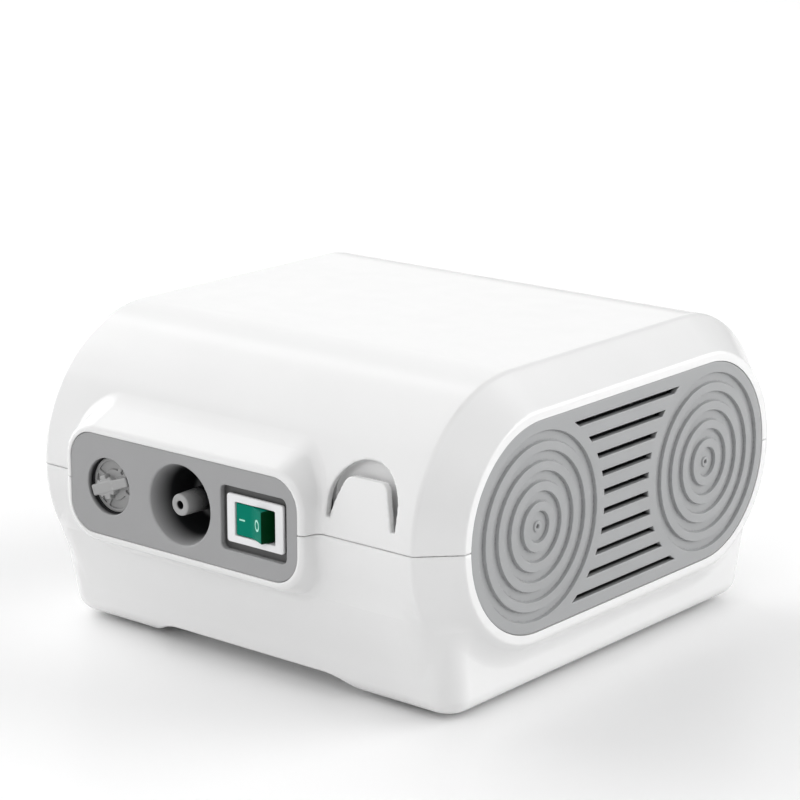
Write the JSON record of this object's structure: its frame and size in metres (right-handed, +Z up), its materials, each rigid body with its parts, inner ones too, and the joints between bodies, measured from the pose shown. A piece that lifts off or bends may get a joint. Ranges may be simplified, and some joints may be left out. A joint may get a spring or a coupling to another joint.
{
  "type": "tabletop nebulizer",
  "caption": "Tabletop compressor nebulizer: white two-part casing, grey end grilles, front panel with filter cap, air outlet and rocker switch.",
  "frame": {"origin": "centre of the footprint on the surface that the feet stand on", "axes": "+X along the front from the filter to the switch, +Y to the back, +Z up"},
  "size_m": [0.171, 0.1878, 0.1007],
  "materials": {
    "white_plastic": "glossy injection moulding",
    "grey_plastic": "satin injection moulding",
    "green_lens": "translucent polished",
    "rubber": "matt",
    "dark_plastic": "satin",
    "felt": "fibrous",
    "hose_rubber": "smooth silicone",
    "lamination": "stacked sheet",
    "copper": null,
    "brass": "satin",
    "aluminium": "die cast",
    "steel": "zinc plated"
  },
  "bodies": {
    "housing": {"casing_screw_1": "steel", "casing_screw_2": "steel", "casing_screw_3": "steel", "casing_screw_4": "steel", "coil_bobbin": "white_plastic", "coil_lead_1": "dark_plastic", "coil_lead_2": "dark_plastic", "control_panel": "grey_plastic", "crankcase_bracket": "aluminium", "cylinder": "aluminium", "cylinder_head": "aluminium", "delivery_hose": "hose_rubber", "filter_housing": "dark_plastic", "foot_1": "rubber", "foot_2": "rubber", "foot_3": "rubber", "foot_4": "rubber", "front_bearing": "brass", "head_gasket": "rubber", "head_screw_1": "steel", "head_screw_2": "steel", "inlet_lead_1": "dark_plastic", "inlet_lead_2": "dark_plastic", "inlet_pin_1": "brass", "inlet_pin_2": "brass", "intake_hose": "hose_rubber", "left_grille": "grey_plastic", "lower_casing": "white_plastic", "mains_inlet": "dark_plastic", "motor_bolt_1": "steel", "motor_bolt_2": "steel", "motor_coil": "copper", "outlet_nozzle": "grey_plastic", "rear_bearing": "brass", "rear_bracket": "aluminium", "right_grille": "grey_plastic", "rubber_mount_1": "rubber", "rubber_mount_2": "rubber", "rubber_mount_3": "rubber", "rubber_mount_4": "rubber", "stator_core": "lamination", "switch_housing": "white_plastic", "switch_terminal_1": "brass", "switch_terminal_2": "brass", "switch_terminal_3": "brass", "switch_terminal_4": "brass", "upper_casing": "white_plastic", "valve_plate": "steel"},
    "rocker": {"switch_rocker": "green_lens"},
    "filter_insert": {"filter_felt": "felt"},
    "filter_cap": {"filter_cap": "grey_plastic"},
    "rotor_assembly": {"rotor": "lamination", "motor_shaft": "steel", "cooling_fan": "dark_plastic", "crank_disc": "steel"},
    "piston_assembly": {"connecting_rod": "aluminium", "crank_bearing": "steel", "piston_cup": "rubber", "piston_retainer": "steel"}
  },
  "joints": [
    {"name": "switch_rock", "type": "hinge", "parent": "housing", "child": "rocker", "pos_m": [0.0192, -0.0865, 0.0547], "axis": [0, 0, 1], "range_deg": [0, 25]},
    {"name": "filter_pull", "type": "slide", "parent": "housing", "child": "filter_insert", "axis": [0, -1, 0], "range_m": [0, 0.03]},
    {"name": "filter_cap_turn", "type": "hinge", "parent": "filter_insert", "child": "filter_cap", "pos_m": [-0.041, -0.0921, 0.0547], "axis": [0, 1, 0], "range_deg": [0, 90]},
    {"name": "motor_spin", "type": "hinge", "parent": "housing", "child": "rotor_assembly", "pos_m": [0, 0.012, 0.0464], "axis": [1, 0, 0], "continuous": true},
    {"name": "rod_pivot", "type": "hinge", "parent": "rotor_assembly", "child": "piston_assembly", "pos_m": [0.032, 0.012, 0.0484], "axis": [1, 0, 0], "continuous": true}
  ],
  "couplings": [
    {"joint": "rod_pivot", "follows": "motor_spin", "ratio": -1}
  ]
}
